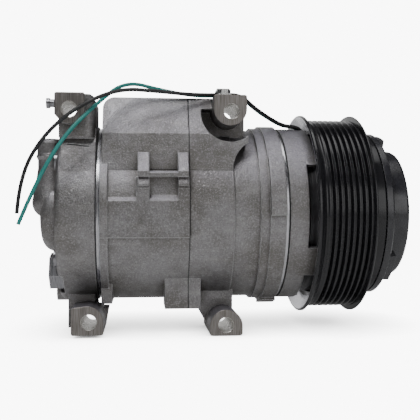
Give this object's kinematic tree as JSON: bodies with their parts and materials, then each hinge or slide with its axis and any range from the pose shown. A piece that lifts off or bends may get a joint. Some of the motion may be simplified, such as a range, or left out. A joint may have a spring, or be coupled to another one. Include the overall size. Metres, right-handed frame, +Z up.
{
  "type": "automotive air conditioning compressor",
  "caption": "Swash-plate refrigerant compressor for a vehicle: cast body with mounting lugs, grooved belt pulley, electromagnetic clutch and two coil leads",
  "frame": {"origin": "on the shaft axis, in the middle of the seven belt grooves", "axes": "+X along the shaft towards the clutch; -Y towards the side with the lug faces and the lead ends; +Z up, towards the manifold block"},
  "size_m": [0.2341, 0.1291, 0.1489],
  "materials": {
    "bearing_steel": "polished",
    "black_lead": "satin sleeve",
    "black_oxide_steel": "black oxide",
    "bolt_steel": "plated",
    "cast_aluminium": "cast, fine grain",
    "clip_steel": "plated",
    "clutch_black": "satin",
    "coil_black": "satin",
    "copper_winding": "enamelled",
    "gasket_metal": "coated",
    "green_lead": "satin sleeve",
    "piston_aluminium": "coated",
    "plate_iron": "ground",
    "pulley_black": "gloss",
    "seal_rubber": "moulded",
    "shoe_steel": "polished",
    "spring_steel": "blued",
    "steel_plate": "ground"
  },
  "bodies": {
    "casing": {"front_housing": "cast_aluminium", "front_cylinder_block": "cast_aluminium", "rear_cylinder_block": "cast_aluminium", "rear_housing": "cast_aluminium", "front_valve_plate": "steel_plate", "rear_valve_plate": "steel_plate", "front_suction_reeds": "spring_steel", "rear_suction_reeds": "spring_steel", "front_discharge_reeds": "spring_steel", "rear_discharge_reeds": "spring_steel", "front_head_gasket": "gasket_metal", "rear_head_gasket": "gasket_metal", "block_seal_ring": "seal_rubber", "through_bolts": "bolt_steel", "shaft_seal": "seal_rubber", "seal_snap_ring": "black_oxide_steel", "front_shaft_bearing": "bearing_steel", "rear_shaft_bearing": "bearing_steel", "front_thrust_bearing": "bearing_steel", "rear_thrust_bearing": "bearing_steel", "relief_valve": "bolt_steel", "bracket_pin": "bolt_steel", "lead_clip": "clip_steel", "clip_screw": "clip_steel", "coil_shell": "coil_black", "coil_winding": "copper_winding", "coil_snap_ring": "black_oxide_steel", "pulley_snap_ring": "black_oxide_steel", "bearing_inner_ring": "bearing_steel", "coil_grommet": "seal_rubber", "lead_black": "black_lead", "lead_green": "green_lead"},
    "pulley": {"pulley": "pulley_black", "bearing_outer_ring": "bearing_steel", "bearing_balls": "bearing_steel", "bearing_seals": "seal_rubber"},
    "shaft": {"drive_shaft": "bearing_steel", "swash_hub": "plate_iron", "clutch_hub": "clutch_black", "hub_damper": "seal_rubber", "hub_cover": "clutch_black", "hub_bolt": "bolt_steel"},
    "armature": {"armature_plate": "clutch_black", "armature_ring": "clutch_black"},
    "swash_plate": {"swash_plate": "plate_iron"},
    "rear_shoe_1": {"rear_shoe_1": "shoe_steel"},
    "front_shoe_1": {"front_shoe_1": "shoe_steel"},
    "piston_1": {"piston_1": "piston_aluminium"},
    "rear_shoe_2": {"rear_shoe_2": "shoe_steel"},
    "front_shoe_2": {"front_shoe_2": "shoe_steel"},
    "piston_2": {"piston_2": "piston_aluminium"},
    "rear_shoe_3": {"rear_shoe_3": "shoe_steel"},
    "front_shoe_3": {"front_shoe_3": "shoe_steel"},
    "piston_3": {"piston_3": "piston_aluminium"},
    "rear_shoe_4": {"rear_shoe_4": "shoe_steel"},
    "front_shoe_4": {"front_shoe_4": "shoe_steel"},
    "piston_4": {"piston_4": "piston_aluminium"},
    "rear_shoe_5": {"rear_shoe_5": "shoe_steel"},
    "front_shoe_5": {"front_shoe_5": "shoe_steel"},
    "piston_5": {"piston_5": "piston_aluminium"}
  },
  "joints": [
    {"name": "shaft_spin", "type": "hinge", "parent": "casing", "child": "shaft", "pos_m": [0, 0, 0], "axis": [1, 0, 0], "continuous": true},
    {"name": "pulley_spin", "type": "hinge", "parent": "casing", "child": "pulley", "pos_m": [0, 0, 0], "axis": [1, 0, 0], "continuous": true},
    {"name": "armature_pull", "type": "slide", "parent": "shaft", "child": "armature", "axis": [-1, 0, 0], "range_m": [0, 0.0005], "stiffness_N_per_m": 2000},
    {"name": "plate_spin", "type": "hinge", "parent": "shaft", "child": "swash_plate", "pos_m": [-0.0914, 0, 0], "axis": [0.954, 0, 0.2998], "continuous": true},
    {"name": "rear_shoe_turn_1", "type": "hinge", "parent": "swash_plate", "child": "rear_shoe_1", "pos_m": [-0.1018, -0.00897, 0.03311], "axis": [0.954, 0, 0.2998], "continuous": true},
    {"name": "front_shoe_turn_1", "type": "hinge", "parent": "rear_shoe_1", "child": "front_shoe_1", "pos_m": [-0.10205, -0.00876, 0.03389], "axis": [0.954, 0, 0.2998], "continuous": true},
    {"name": "piston_turn_1", "type": "hinge", "parent": "front_shoe_1", "child": "piston_1", "pos_m": [-0.10205, -0.00876, 0.03389], "axis": [1, 0, 0], "continuous": true},
    {"name": "rear_shoe_turn_2", "type": "hinge", "parent": "swash_plate", "child": "rear_shoe_2", "pos_m": [-0.09206, -0.03578, 0.00209], "axis": [0.954, 0, 0.2998], "continuous": true},
    {"name": "front_shoe_turn_2", "type": "hinge", "parent": "rear_shoe_2", "child": "front_shoe_2", "pos_m": [-0.09207, -0.03493, 0.00214], "axis": [0.954, 0, 0.2998], "continuous": true},
    {"name": "piston_turn_2", "type": "hinge", "parent": "front_shoe_2", "child": "piston_2", "pos_m": [-0.09207, -0.03493, 0.00214], "axis": [1, 0, 0], "continuous": true},
    {"name": "rear_shoe_turn_3", "type": "hinge", "parent": "swash_plate", "child": "rear_shoe_3", "pos_m": [-0.0814, -0.01314, -0.03182], "axis": [0.954, 0, 0.2998], "continuous": true},
    {"name": "front_shoe_turn_3", "type": "hinge", "parent": "rear_shoe_3", "child": "front_shoe_3", "pos_m": [-0.08117, -0.01283, -0.03256], "axis": [0.954, 0, 0.2998], "continuous": true},
    {"name": "piston_turn_3", "type": "hinge", "parent": "front_shoe_3", "child": "piston_3", "pos_m": [-0.08117, -0.01283, -0.03256], "axis": [1, 0, 0], "continuous": true},
    {"name": "rear_shoe_turn_4", "type": "hinge", "parent": "swash_plate", "child": "rear_shoe_4", "pos_m": [-0.08456, 0.02766, -0.02175], "axis": [0.954, 0, 0.2998], "continuous": true},
    {"name": "front_shoe_turn_4", "type": "hinge", "parent": "rear_shoe_4", "child": "front_shoe_4", "pos_m": [-0.0844, 0.02701, -0.02226], "axis": [0.954, 0, 0.2998], "continuous": true},
    {"name": "piston_turn_4", "type": "hinge", "parent": "front_shoe_4", "child": "piston_4", "pos_m": [-0.0844, 0.02701, -0.02226], "axis": [1, 0, 0], "continuous": true},
    {"name": "rear_shoe_turn_5", "type": "hinge", "parent": "swash_plate", "child": "rear_shoe_5", "pos_m": [-0.09717, 0.03023, 0.01837], "axis": [0.954, 0, 0.2998], "continuous": true},
    {"name": "front_shoe_turn_5", "type": "hinge", "parent": "rear_shoe_5", "child": "front_shoe_5", "pos_m": [-0.09731, 0.02952, 0.01881], "axis": [0.954, 0, 0.2998], "continuous": true},
    {"name": "piston_turn_5", "type": "hinge", "parent": "front_shoe_5", "child": "piston_5", "pos_m": [-0.09731, 0.02952, 0.01881], "axis": [1, 0, 0], "continuous": true}
  ],
  "couplings": [
    {"joint": "plate_spin", "follows": "shaft_spin", "ratio": -1},
    {"joint": "rear_shoe_turn_1", "follows": "shaft_spin", "ratio": 2},
    {"joint": "front_shoe_turn_1", "follows": "shaft_spin", "ratio": -1},
    {"joint": "piston_turn_1", "follows": "shaft_spin", "ratio": -1},
    {"joint": "rear_shoe_turn_2", "follows": "shaft_spin", "ratio": 2},
    {"joint": "front_shoe_turn_2", "follows": "shaft_spin", "ratio": -1},
    {"joint": "piston_turn_2", "follows": "shaft_spin", "ratio": -1},
    {"joint": "rear_shoe_turn_3", "follows": "shaft_spin", "ratio": 2},
    {"joint": "front_shoe_turn_3", "follows": "shaft_spin", "ratio": -1},
    {"joint": "piston_turn_3", "follows": "shaft_spin", "ratio": -1},
    {"joint": "rear_shoe_turn_4", "follows": "shaft_spin", "ratio": 2},
    {"joint": "front_shoe_turn_4", "follows": "shaft_spin", "ratio": -1},
    {"joint": "piston_turn_4", "follows": "shaft_spin", "ratio": -1},
    {"joint": "rear_shoe_turn_5", "follows": "shaft_spin", "ratio": 2},
    {"joint": "front_shoe_turn_5", "follows": "shaft_spin", "ratio": -1},
    {"joint": "piston_turn_5", "follows": "shaft_spin", "ratio": -1}
  ]
}
